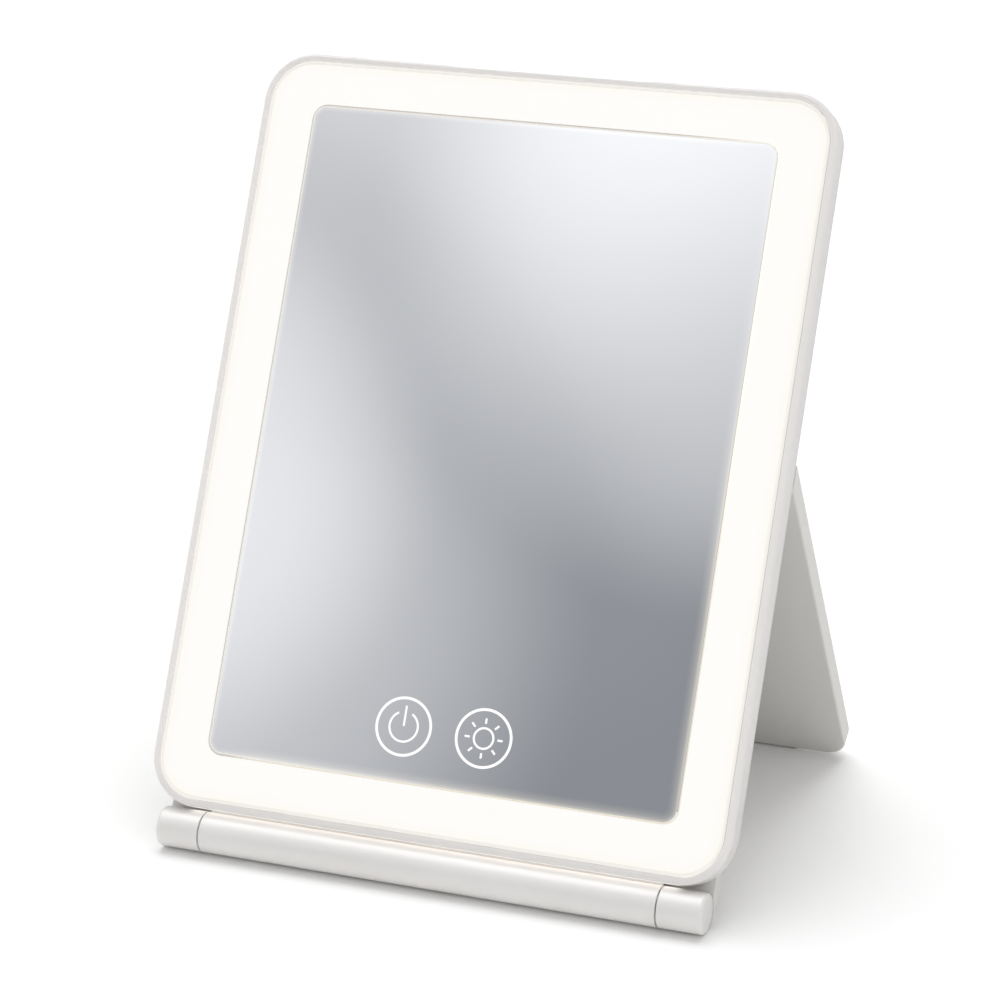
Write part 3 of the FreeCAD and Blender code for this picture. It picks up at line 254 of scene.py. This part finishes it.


# Opal acrylic with lamps behind: even cream light, warmer by its rim, dim in the lip, painted shade at right seam
def makeOpalAcrylic():
    glow = {"colour": "#FFFEFC", "rimColour": "#FFFBF5", "body": "#8F8E8A", "roughness": 0.45, "ior": 1.49,
            "strength": 0.758, "dimmest": 0.985, "cloudSize": 30.0, "rimWidth": 3.0,
            "lipStrength": 0.675, "lipWidth": 1.2, "lipFade": 0.3,
            "seamWidth": 0.3, "seamFade": 0.1, "seamTurn": 3.0, "seamPaintedLight": 1.08, "seamPaintedShade": 0.5}
    material, tree, shader = newMaterial("litOpalAcrylic")
    place = addPlace(tree, diffuserLow, diffuserHigh)
    edge = addEdgeDistance(tree, place, diffuserLow, diffuserHigh,
                           mirrorForm["frameCorner"] - diffuserLow.x + frameLow.x)
    cloud = addNode(tree, "ShaderNodeTexNoise", {"Vector": place, "Scale": 1 / glow["cloudSize"]})
    rim = addNode(tree, "ShaderNodeMapRange", {"Value": edge, "From Min": glow["lipWidth"],
                                               "From Max": glow["lipWidth"] + glow["rimWidth"]},
                  interpolation_type="SMOOTHSTEP")
    warmth = addNode(tree, "ShaderNodeMix",
                     {"Factor": rim.outputs["Result"], "A": fromHex(glow["rimColour"]),
                      "B": fromHex(glow["colour"])}, data_type="RGBA")
    lit = addNode(tree, "ShaderNodeMapRange",
                  {"Value": edge, "From Min": glow["lipWidth"] - glow["lipFade"],
                   "From Max": glow["lipWidth"], "To Min": glow["lipStrength"], "To Max": glow["strength"]})
    across = addNode(tree, "ShaderNodeSeparateXYZ", {"Vector": place}).outputs["X"]
    # Along the seam: painted shade at the right side, and elsewhere a little painted light that lifts its shade
    shade = addNode(tree, "ShaderNodeMapRange",
                    {"Value": across, "From Min": diffuserHigh.x - glow["seamTurn"],
                     "From Max": diffuserHigh.x - glow["seamWidth"], "To Min": glow["seamPaintedLight"],
                     "To Max": glow["seamPaintedShade"]})
    seam = addNode(tree, "ShaderNodeMapRange",
                   {"Value": edge, "From Min": glow["seamWidth"] - glow["seamFade"],
                    "From Max": glow["seamWidth"], "To Min": shade.outputs["Result"], "To Max": 1.0})
    bright = addNode(tree, "ShaderNodeMath", {0: lit.outputs["Result"], 1: seam.outputs["Result"]},
                     operation="MULTIPLY")
    level = addNode(tree, "ShaderNodeMapRange", {"Value": cloud.outputs["Fac"], "To Min": glow["dimmest"],
                                                 "To Max": 1.0})
    strength = addNode(tree, "ShaderNodeMath", {0: level.outputs["Result"], 1: bright.outputs["Value"]},
                       operation="MULTIPLY")
    shader.inputs["Base Color"].default_value = fromHex(glow["body"])
    shader.inputs["Roughness"].default_value = glow["roughness"]
    shader.inputs["IOR"].default_value = glow["ior"]
    tree.links.new(warmth.outputs["Result"], shader.inputs["Emission Color"])
    tree.links.new(strength.outputs["Value"], shader.inputs["Emission Strength"])
    return material


# Silvered float glass, cool and sharp: painted edge shade and highlight left and top, painted lamp glow elsewhere
def makeSilveredGlass():
    silver = {"colour": "#EBEBEB", "roughness": 0.01, "haze": 0.01, "hazeSize": 60.0,
              # A tan line of painted shade along the left and top edges
              "edgeShade": "#D6D0C8", "edgeShadeWidth": 0.58, "edgeShadeFade": 0.1,
              "shadeTurnShares": (-0.4, 0.5), "shadeLeftShares": (-0.95, -0.7),
              # A painted highlight on the bevel beside that line, with a painted glow
              "bevel": "#F2F0ED", "bevelWidth": 1.1, "bevelFade": 0.3,
              "bevelGlow": 0.115, "bevelGlowWidth": 2.4,
              # Painted lamp glow on the warm-tinted chamfer and across the glass near the other edges
              "chamfer": "#EEE8DC", "chamferWidth": 0.5, "chamferFade": 0.1, "chamferDim": 0.03,
              "chamferGlow": 0.45, "chamferShares": (-0.6, 0.5),
              "spill": "#FFF4DE", "spillStrength": 0.17, "spillWidth": 3.8, "spillTop": 0.1,
              "spillShares": (-0.4, 0.8), "flood": 0.24, "floodWidth": 1.7}
    material, tree, shader = newMaterial("silveredFloatGlass")
    place = addPlace(tree, glassLow, glassHigh)
    edge = addEdgeDistance(tree, place, glassLow, glassHigh, mirrorForm["glassCorner"])
    halves = (glassHigh - glassLow) / 2
    shares = addNode(tree, "ShaderNodeVectorMath", {0: place, 1: (1 / halves.x, 1 / halves.y, 0)},
                     operation="MULTIPLY").outputs["Vector"]
    share = addNode(tree, "ShaderNodeSeparateXYZ", {"Vector": shares}).outputs
    leaning = addNode(tree, "ShaderNodeMath", {0: share["Y"], 1: share["X"]}, operation="SUBTRACT")

    # Soft steps: what is measured, where the step starts and ends, and the values before and after it
    steps = {
        "shadedAbove": (leaning.outputs["Value"], *silver["shadeTurnShares"], 0.0, 1.0),
        "shadedLeft": (share["X"], *silver["shadeLeftShares"], 1.0, 0.0),
        "edgeShadeBand": (edge, silver["edgeShadeWidth"] - silver["edgeShadeFade"], silver["edgeShadeWidth"], 1.0, 0.0),
        "bevelBand": (edge, silver["bevelWidth"] - silver["bevelFade"], silver["bevelWidth"], 1.0, 0.0),
        "bevelGlow": (edge, silver["edgeShadeWidth"], silver["bevelGlowWidth"], silver["bevelGlow"], 0.0),
        "chamfer": (edge, silver["chamferWidth"] - silver["chamferFade"], silver["chamferWidth"], 1.0, 0.0),
        "chamferGlow": (share["Y"], *silver["chamferShares"], silver["chamferDim"], silver["chamferGlow"]),
        "flood": (edge, 0.0, silver["floodWidth"], silver["flood"], 0.0),
        "spill": (edge, 0.0, silver["spillWidth"], silver["spillStrength"], 0.0),
        "spillRise": (share["Y"], *silver["spillShares"], 1.0, silver["spillTop"]),
    }
    value = {"one": 1.0}
    for name, (measure, start, end, first, last) in steps.items():
        value[name] = addNode(tree, "ShaderNodeMapRange",
                              {"Value": measure, "From Min": start, "From Max": end, "To Min": first,
                               "To Max": last}, interpolation_type="SMOOTHSTEP").outputs["Result"]

    # Sums of those steps: each result, its operation and the two values that go into it
    sums = [
        ("shadedSides", "MAXIMUM", "shadedAbove", "shadedLeft"),
        ("unshadedSides", "SUBTRACT", "one", "shadedSides"),
        ("onEdgeShade", "MULTIPLY", "shadedSides", "edgeShadeBand"),
        ("offEdgeShade", "SUBTRACT", "one", "onEdgeShade"),
        ("onBevel", "MULTIPLY", "shadedSides", "bevelBand"),
        ("metal", "SUBTRACT", "one", "onBevel"),
        ("besideEdgeShade", "MULTIPLY", "shadedSides", "offEdgeShade"),
        ("bevelLight", "MULTIPLY", "besideEdgeShade", "bevelGlow"),
        ("openChamfer", "MULTIPLY", "chamfer", "unshadedSides"),
        ("chamferLight", "MULTIPLY", "openChamfer", "chamferGlow"),
        ("edged", "MAXIMUM", "shadedSides", "chamfer"),
        ("plain", "SUBTRACT", "one", "edged"),
        ("spillPlace", "MULTIPLY", "spillRise", "plain"),
        ("lampLight", "ADD", "flood", "spill"),
        ("faceLight", "MULTIPLY", "lampLight", "spillPlace"),
        ("openLight", "ADD", "faceLight", "chamferLight"),
        ("glow", "ADD", "openLight", "bevelLight"),
    ]
    for name, operation, first, second in sums:
        value[name] = addNode(tree, "ShaderNodeMath", {0: value[first], 1: value[second]},
                              operation=operation).outputs["Value"]
    # Colours: the painted shade line and the painted bevel highlight on the left and top edges
    rim = addNode(tree, "ShaderNodeMix", {"Factor": value["onEdgeShade"], "A": fromHex(silver["bevel"]),
                                          "B": fromHex(silver["edgeShade"])}, data_type="RGBA")
    bare = addNode(tree, "ShaderNodeMix", {"Factor": value["chamfer"], "A": fromHex(silver["colour"]),
                                           "B": fromHex(silver["chamfer"])}, data_type="RGBA")
    colour = addNode(tree, "ShaderNodeMix", {"Factor": value["onBevel"], "A": bare.outputs["Result"],
                                             "B": rim.outputs["Result"]}, data_type="RGBA")
    haze = addNode(tree, "ShaderNodeTexNoise", {"Vector": place, "Scale": 1 / silver["hazeSize"]})
    gloss = addNode(tree, "ShaderNodeMapRange",
                    {"Value": haze.outputs["Fac"], "To Min": silver["roughness"],
                     "To Max": silver["roughness"] + silver["haze"]})
    # One warm colour for all the painted light on the glass
    shader.inputs["Emission Color"].default_value = fromHex(silver["spill"])
    tree.links.new(colour.outputs["Result"], shader.inputs["Base Color"])
    tree.links.new(value["metal"], shader.inputs["Metallic"])
    tree.links.new(gloss.outputs["Result"], shader.inputs["Roughness"])
    tree.links.new(value["glow"], shader.inputs["Emission Strength"])
    return material


# Clear symbols etched through the silver, with light behind: white with a soft even glow
def makeEtchedSymbol():
    etched = {"colour": "#FFFFFF", "body": "#B4B4B4", "roughness": 0.5, "strength": 0.68, "dimmest": 0.97,
              "cloudSize": 4.0}
    material, tree, shader = newMaterial("backlitEtchedGlass")
    place = addNode(tree, "ShaderNodeTexCoord").outputs["Object"]
    cloud = addNode(tree, "ShaderNodeTexNoise", {"Vector": place, "Scale": 1 / (etched["cloudSize"] * mm)})
    level = addNode(tree, "ShaderNodeMapRange",
                    {"Value": cloud.outputs["Fac"], "To Min": etched["dimmest"] * etched["strength"],
                     "To Max": etched["strength"]})
    shader.inputs["Base Color"].default_value = fromHex(etched["body"])
    shader.inputs["Roughness"].default_value = etched["roughness"]
    shader.inputs["Emission Color"].default_value = fromHex(etched["colour"])
    tree.links.new(level.outputs["Result"], shader.inputs["Emission Strength"])
    return material


finishes["frosted_acrylic"] = makeOpalAcrylic()
finishes["silvered_glass"] = makeSilveredGlass()
rimAbs = makeRimAbs()
etchedSymbol = makeEtchedSymbol()
print("materials made:", len(bpy.data.materials))

# Every solid takes the finish that its slot names, apart from the frame round the lamps
for subpart in frame["record"]["subparts"]:
    solid = nodes[subpart["node"]]
    solid.data.materials.clear()
    solid.data.materials.append(finishes[subpart["material_slot"]])
nodes["front_frame"].data.materials[0] = rimAbs


# Puts a finished shape into its place in the model and lets it ride on a body
def finishPiece(shape, name, place, material, body):
    bmesh.ops.transform(shape, matrix=place, verts=shape.verts)
    mesh = bpy.data.meshes.new(name)
    shape.to_mesh(mesh)
    shape.free()
    mesh.materials.append(material)
    piece = bpy.data.objects.new(name, mesh)
    bpy.context.scene.collection.objects.link(piece)
    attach(piece, body)
    return piece


# Touch symbols: a ring with a power sign and a ring with a small sun, lying on the glass
symbols = {"rise": 15.8, "spread": 11.9, "shift": -0.2, "thickness": 0.05, "lift": 0.03,
           "ringRadius": 8.4, "ringStroke": 0.78, "stroke": 0.6, "bandStep": 4,
           "endShare": 0.42, "endSegments": 4,
           "powerRadius": 4.5, "powerGap": 56, "barLength": 5.8, "barRise": 3.0,
           "sunRadius": 3.15, "rayStart": 4.05, "rayEnd": 5.65, "rayCount": 8}


# A flat band swept round a centre, from an angle beside the top and through the given sweep
def addBand(shape, centre, outerRadius, stroke, start, sweep):
    inner = shape.verts.new(centre + Vector((0, outerRadius - stroke, 0)))
    outer = shape.verts.new(centre + Vector((0, outerRadius, 0)))
    side = shape.edges.new((inner, outer))
    turn = Matrix.Rotation(math.radians(start), 3, "Z")
    bmesh.ops.rotate(shape, verts=[inner, outer], cent=centre, matrix=turn)
    bmesh.ops.spin(shape, geom=[inner, outer, side], cent=centre, axis=(0, 0, 1), angle=math.radians(sweep),
                   steps=int(sweep / symbols["bandStep"]), use_merge=sweep == 360)


# A straight stroke with eased ends, from one radius to another at an angle from the top
def addStroke(shape, centre, start, end, width, angle):
    made = bmesh.ops.create_grid(shape, x_segments=1, y_segments=1, size=0.5)["verts"]
    bmesh.ops.scale(shape, verts=made, vec=(width, end - start, 1))
    bmesh.ops.translate(shape, verts=made, vec=(0, (start + end) / 2, 0))
    made = bmesh.ops.bevel(shape, geom=made, offset=width * symbols["endShare"], profile=0.5,
                           segments=symbols["endSegments"], material=-1, affect="VERTICES")["verts"]
    bmesh.ops.rotate(shape, verts=made, cent=(0, 0, 0), matrix=Matrix.Rotation(math.radians(angle), 3, "Z"))
    bmesh.ops.translate(shape, verts=made, vec=centre)


# Turns the flat marks face up, thickens them and lays them on the glass
def finishSymbol(shape, name):
    bmesh.ops.recalc_face_normals(shape, faces=shape.faces)
    for face in shape.faces:
        if face.normal.z < 0:
            face.normal_flip()
    raised = bmesh.ops.extrude_face_region(shape, geom=shape.faces[:])
    tops = [item for item in raised["geom"] if isinstance(item, bmesh.types.BMVert)]
    bmesh.ops.translate(shape, verts=tops, vec=(0, 0, symbols["thickness"]))
    bmesh.ops.recalc_face_normals(shape, faces=shape.faces)
    finishPiece(shape, name, headFrame, etchedSymbol, "mirror_head")


def symbolCentre(side):
    base = glassHigh.z + symbols["lift"] - symbols["thickness"]
    return Vector((symbols["shift"] + side * symbols["spread"], glassLow.y + symbols["rise"], base))


def makePowerSymbol():
    shape = bmesh.new()
    centre = symbolCentre(-1)
    gap = symbols["powerGap"]
    halfBar = symbols["barLength"] / 2
    addBand(shape, centre, symbols["ringRadius"], symbols["ringStroke"], 0, 360)
    addBand(shape, centre, symbols["powerRadius"], symbols["stroke"], gap / 2, 360 - gap)
    addStroke(shape, centre, symbols["barRise"] - halfBar, symbols["barRise"] + halfBar,
              symbols["stroke"], 0)
    finishSymbol(shape, "powerSymbol")


def makeSunSymbol():
    shape = bmesh.new()
    centre = symbolCentre(1)
    addBand(shape, centre, symbols["ringRadius"], symbols["ringStroke"], 0, 360)
    addBand(shape, centre, symbols["sunRadius"], symbols["stroke"], 0, 360)
    for ray in range(symbols["rayCount"]):
        addStroke(shape, centre, symbols["rayStart"], symbols["rayEnd"], symbols["stroke"],
                  ray * 360 / symbols["rayCount"])
    finishSymbol(shape, "sunSymbol")


makePowerSymbol()
makeSunSymbol()
print("touch symbols drawn")

# Screws: a low domed head with a cross recess, and a plain shank with a tip
screwForm = {"headRadius": 1.75, "headHeight": 0.8, "crownShare": 0.72, "shoulderShare": 0.93,
             "shoulderDrop": 0.07, "rimDrop": 0.224, "shankShare": 0.5, "tipLength": 0.5,
             "crossArms": 4, "crossLength": 0.95, "crossWidth": 0.3, "crossLift": 0.014, "crossDepth": 0.5,
             "crossTaper": 0.55, "sides": 28, "turnStep": 37, "mergeDistance": 0.001}


# Middle, face and length of each separate solid in a node, in millimetres of the given frame
def solidPlaces(node, place):
    shape = bmesh.new()
    shape.from_mesh(nodes[node].data)
    bmesh.ops.transform(shape, matrix=place.inverted(), verts=shape.verts)
    bmesh.ops.remove_doubles(shape, verts=shape.verts, dist=screwForm["mergeDistance"])
    waiting = set(shape.verts)
    places = []
    while waiting:
        island = {waiting.pop()}
        edge = set(island)
        while edge:
            edge = {side.other_vert(vert) for vert in edge for side in vert.link_edges} - island
            island |= edge
        waiting -= island
        low, high = ([pick(vert.co[axis] for vert in island) for axis in range(3)] for pick in (min, max))
        places.append(((low[0] + high[0]) / 2, (low[1] + high[1]) / 2, low[2], high[2] - low[2]))
    shape.free()
    return sorted(places)


def addScrew(shape, x, y, face, length, turn):
    form = screwForm
    radius = form["headRadius"]
    shank = radius * form["shankShare"]
    profile = [(radius * form["crownShare"], 0), (radius * form["shoulderShare"], form["shoulderDrop"]),
               (radius, form["rimDrop"]), (radius, form["headHeight"]), (shank, form["headHeight"]),
               (shank, length - form["tipLength"]), (0, length)]
    screw = bmesh.new()
    verts = [screw.verts.new((across, 0, along)) for across, along in profile]
    sides = [screw.edges.new(pair) for pair in zip(verts, verts[1:])]
    bmesh.ops.spin(screw, geom=verts + sides, cent=(0, 0, 0), axis=(0, 0, 1), angle=math.tau,
                   steps=form["sides"], use_merge=True)
    bmesh.ops.remove_doubles(screw, verts=screw.verts, dist=form["mergeDistance"])
    rim = [side for side in screw.edges if side.is_boundary]

    # The cross is drawn inside the open crown, joined to its rim and sunk with a taper
    long, thin = form["crossLength"], form["crossWidth"]
    quarter = [(thin, long), (thin, thin), (long, thin)]
    outline = []
    for arm in range(form["crossArms"]):
        spot = Matrix.Rotation(-math.tau / form["crossArms"] * arm, 2)
        outline += [screw.verts.new((*(spot @ Vector(corner)), -form["crossLift"])) for corner in quarter]
    cross = [screw.edges.new(pair) for pair in zip(outline, outline[1:] + outline[:1])]
    bmesh.ops.bridge_loops(screw, edges=rim + cross)
    sunk = bmesh.ops.extrude_edge_only(screw, edges=cross)["geom"]
    floor = [item for item in sunk if isinstance(item, bmesh.types.BMVert)]
    bmesh.ops.scale(screw, verts=floor, vec=(form["crossTaper"], form["crossTaper"], 1))
    bmesh.ops.translate(screw, verts=floor, vec=(0, 0, form["crossDepth"]))
    bmesh.ops.contextual_create(screw, geom=[item for item in sunk if isinstance(item, bmesh.types.BMEdge)
                                             and all(vert in floor for vert in item.verts)])
    bmesh.ops.recalc_face_normals(screw, faces=screw.faces)
    bmesh.ops.rotate(screw, verts=screw.verts, cent=(0, 0, 0), matrix=Matrix.Rotation(turn, 3, "Z"))
    bmesh.ops.translate(screw, verts=screw.verts, vec=(x, y, face))
    made = bpy.data.meshes.new("screw")
    screw.to_mesh(made)
    screw.free()
    shape.from_mesh(made)
    bpy.data.meshes.remove(made)


def makeScrews(name, node, place, body):
    shape = bmesh.new()
    for count, (x, y, face, length) in enumerate(solidPlaces(node, place)):
        addScrew(shape, x, y, face, length, math.radians(count * screwForm["turnStep"]))
    screws = finishPiece(shape, name, place, finishes["steel"], body)
    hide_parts(node)


makeScrews("housingScrews", "housing_screws", headFrame, "mirror_head")
makeScrews("hingeScrews", "hinge_screws", headFrame, "mirror_head")
makeScrews("knuckleScrews", "knuckle_screws", headFrame, "stand")
makeScrews("legScrews", "leg_screws", legFrame, "leg")
print("screws made")

# Stage: a floor a little over white to the camera that keeps the shadow, lit softly from above and behind
stageSettings = {"floorSize": 12.0, "floorColour": "#FAFAFA", "floorGain": 0.1, "ambient": 0.62,
                 "keyStrength": 1.3, "keyAngle": 48, "keyFrom": (-0.1, 0.25, 1.0)}

# Studio for the glass to mirror: a cool grey wall, cloudy beyond what the photo's view sees, and soft panels
studio = {"wall": 0.358, "wallColour": "#EEF3FD", "around": (-0.334, -0.784, 0.523), "aroundNear": 9,
          "aroundFar": 16, "cloudGain": 0.5, "cloudScale": 3.5, "cloudDetail": 0.5, "cloudFrom": 0.4,
          "cloudTo": 0.65,
          # Direction, angular radius in degrees and strength, all but the last fitted to the photo's glass
          "panels": [((-0.2675, -0.7613, 0.5906), 6.65, 0.405), ((-0.3449, -0.6101, 0.7133), 15.1, 0.69),
                     ((-0.4314, -0.7799, 0.4535), 8.5, 0.383), ((-0.4298, -0.7615, 0.4852), 5.5, 0.296),
                     ((-0.3248, -0.7948, 0.5126), 5.0, 0.031), ((-0.33, 0.085, 0.94), 34.0, 3.2)]}


def makeFloor():
    mesh = bpy.data.meshes.new("floor")
    shape = bmesh.new()
    bmesh.ops.create_grid(shape, x_segments=1, y_segments=1, size=stageSettings["floorSize"] / 2)
    shape.to_mesh(mesh)
    shape.free()
    floor = bpy.data.objects.new("floor", mesh)
    bpy.context.scene.collection.objects.link(floor)
    material, tree, shader = newMaterial("floorPaper")
    shader.inputs["Base Color"].default_value = fromHex(stageSettings["floorColour"])
    shader.inputs["Roughness"].default_value = 1.0
    shader.inputs["Specular IOR Level"].default_value = 0.0
    path = addNode(tree, "ShaderNodeLightPath")
    gain = addNode(tree, "ShaderNodeMath",
                   {0: path.outputs["Is Camera Ray"], 1: stageSettings["floorGain"]}, operation="MULTIPLY")
    extra = addNode(tree, "ShaderNodeBsdfDiffuse", {"Color": gain.outputs["Value"]})
    both = addNode(tree, "ShaderNodeAddShader", {0: shader.outputs["BSDF"], 1: extra.outputs["BSDF"]})
    tree.links.new(both.outputs["Shader"], tree.get_output_node("ALL").inputs["Surface"])
    mesh.materials.append(material)


# What glossy surfaces see: the wall, and the panels that fade out over their radius
def addStudio(tree):
    towards = addNode(tree, "ShaderNodeTexCoord").outputs["Generated"]
    centred = addNode(tree, "ShaderNodeVectorMath", {0: towards, 1: studio["around"]},
                      operation="DOT_PRODUCT")
    outside = addNode(tree, "ShaderNodeMapRange",
                      {"Value": centred.outputs["Value"],
                       "From Min": math.cos(math.radians(studio["aroundFar"])),
                       "From Max": math.cos(math.radians(studio["aroundNear"])),
                       "To Min": studio["cloudGain"], "To Max": 0.0}, interpolation_type="SMOOTHSTEP")
    cloud = addNode(tree, "ShaderNodeTexNoise", {"Vector": towards, "Scale": studio["cloudScale"],
                                                 "Detail": studio["cloudDetail"]})
    patch = addNode(tree, "ShaderNodeMapRange",
                    {"Value": cloud.outputs["Fac"], "From Min": studio["cloudFrom"],
                     "From Max": studio["cloudTo"]}, interpolation_type="SMOOTHSTEP")
    light = addNode(tree, "ShaderNodeMath", {0: outside.outputs["Result"], 1: patch.outputs["Result"],
                                             2: studio["wall"]}, operation="MULTIPLY_ADD")
    wall = addNode(tree, "ShaderNodeBackground", {"Color": fromHex(studio["wallColour"]),
                                                  "Strength": light.outputs["Value"]})
    shine = 0.0
    for panel, radius, gain in studio["panels"]:
        facing = addNode(tree, "ShaderNodeVectorMath", {0: towards, 1: Vector(panel).normalized()},
                         operation="DOT_PRODUCT")
        fade = addNode(tree, "ShaderNodeMapRange",
                       {"Value": facing.outputs["Value"], "From Min": 1 - math.radians(radius) ** 2 / 2,
                        "From Max": 1.0, "To Min": 0.0, "To Max": gain}, interpolation_type="SMOOTHSTEP")
        shine = addNode(tree, "ShaderNodeMath", {0: shine, 1: fade.outputs["Result"]},
                        operation="ADD").outputs["Value"]
    lamps = addNode(tree, "ShaderNodeBackground", {"Color": (1, 1, 1, 1), "Strength": shine})
    return addNode(tree, "ShaderNodeAddShader", {0: wall.outputs["Background"],
                                                 1: lamps.outputs["Background"]}).outputs["Shader"]


# White to the camera, the studio to glossy surfaces, and an even pale room to all else
def makeWorld():
    world = bpy.data.worlds.new("studio")
    bpy.context.scene.world = world
    world.use_nodes = True
    tree = world.node_tree
    tree.nodes.clear()
    path = addNode(tree, "ShaderNodeLightPath")
    seen = addNode(tree, "ShaderNodeMath", {0: path.outputs["Is Camera Ray"],
                                            1: path.outputs["Is Transmission Ray"]}, operation="MAXIMUM")
    room = addNode(tree, "ShaderNodeBackground", {"Color": (1, 1, 1, 1),
                                                  "Strength": stageSettings["ambient"]})
    white = addNode(tree, "ShaderNodeBackground", {"Color": (1, 1, 1, 1), "Strength": 1.0})
    inside = addNode(tree, "ShaderNodeMixShader",
                     {0: path.outputs["Is Glossy Ray"], 1: room.outputs["Background"], 2: addStudio(tree)})
    mix = addNode(tree, "ShaderNodeMixShader", {0: seen.outputs["Value"], 1: inside.outputs["Shader"],
                                                2: white.outputs["Background"]})
    addNode(tree, "ShaderNodeOutputWorld", {"Surface": mix.outputs["Shader"]})


def makeKeyLight():
    light = bpy.data.lights.new("key", "SUN")
    light.energy = stageSettings["keyStrength"]
    light.angle = math.radians(stageSettings["keyAngle"])
    key = bpy.data.objects.new("key", light)
    key.rotation_mode = "QUATERNION"
    key.rotation_quaternion = Vector(stageSettings["keyFrom"]).to_track_quat("Z", "Y")
    key.visible_glossy = False
    bpy.context.scene.collection.objects.link(key)


# Camera of the photograph: turned round the object, looking down on a point behind the glass
def makeCamera():
    view = {"azimuth": 20.452, "elevation": 19.533, "distance": 943.6, "target": (2.05, -11.69, 97.48),
            "lens": 120.6, "sensor": 36.0}
    azimuth = math.radians(view["azimuth"])
    elevation = math.radians(view["elevation"])
    back = Vector((math.sin(azimuth) * math.cos(elevation), -math.cos(azimuth) * math.cos(elevation),
                   math.sin(elevation)))
    lens = bpy.data.cameras.new("camera")
    lens.sensor_width = view["sensor"]
    lens.lens = view["lens"]
    camera = bpy.data.objects.new("camera", lens)
    camera.rotation_mode = "QUATERNION"
    camera.rotation_quaternion = (-back).to_track_quat("-Z", "Y")
    camera.location = (Vector(view["target"]) + back * view["distance"]) * mm
    bpy.context.scene.collection.objects.link(camera)
    bpy.context.scene.camera = camera


makeFloor()
makeWorld()
makeKeyLight()
makeCamera()
bpy.context.scene.view_settings.view_transform = "Standard"
print("stage, light and camera set")
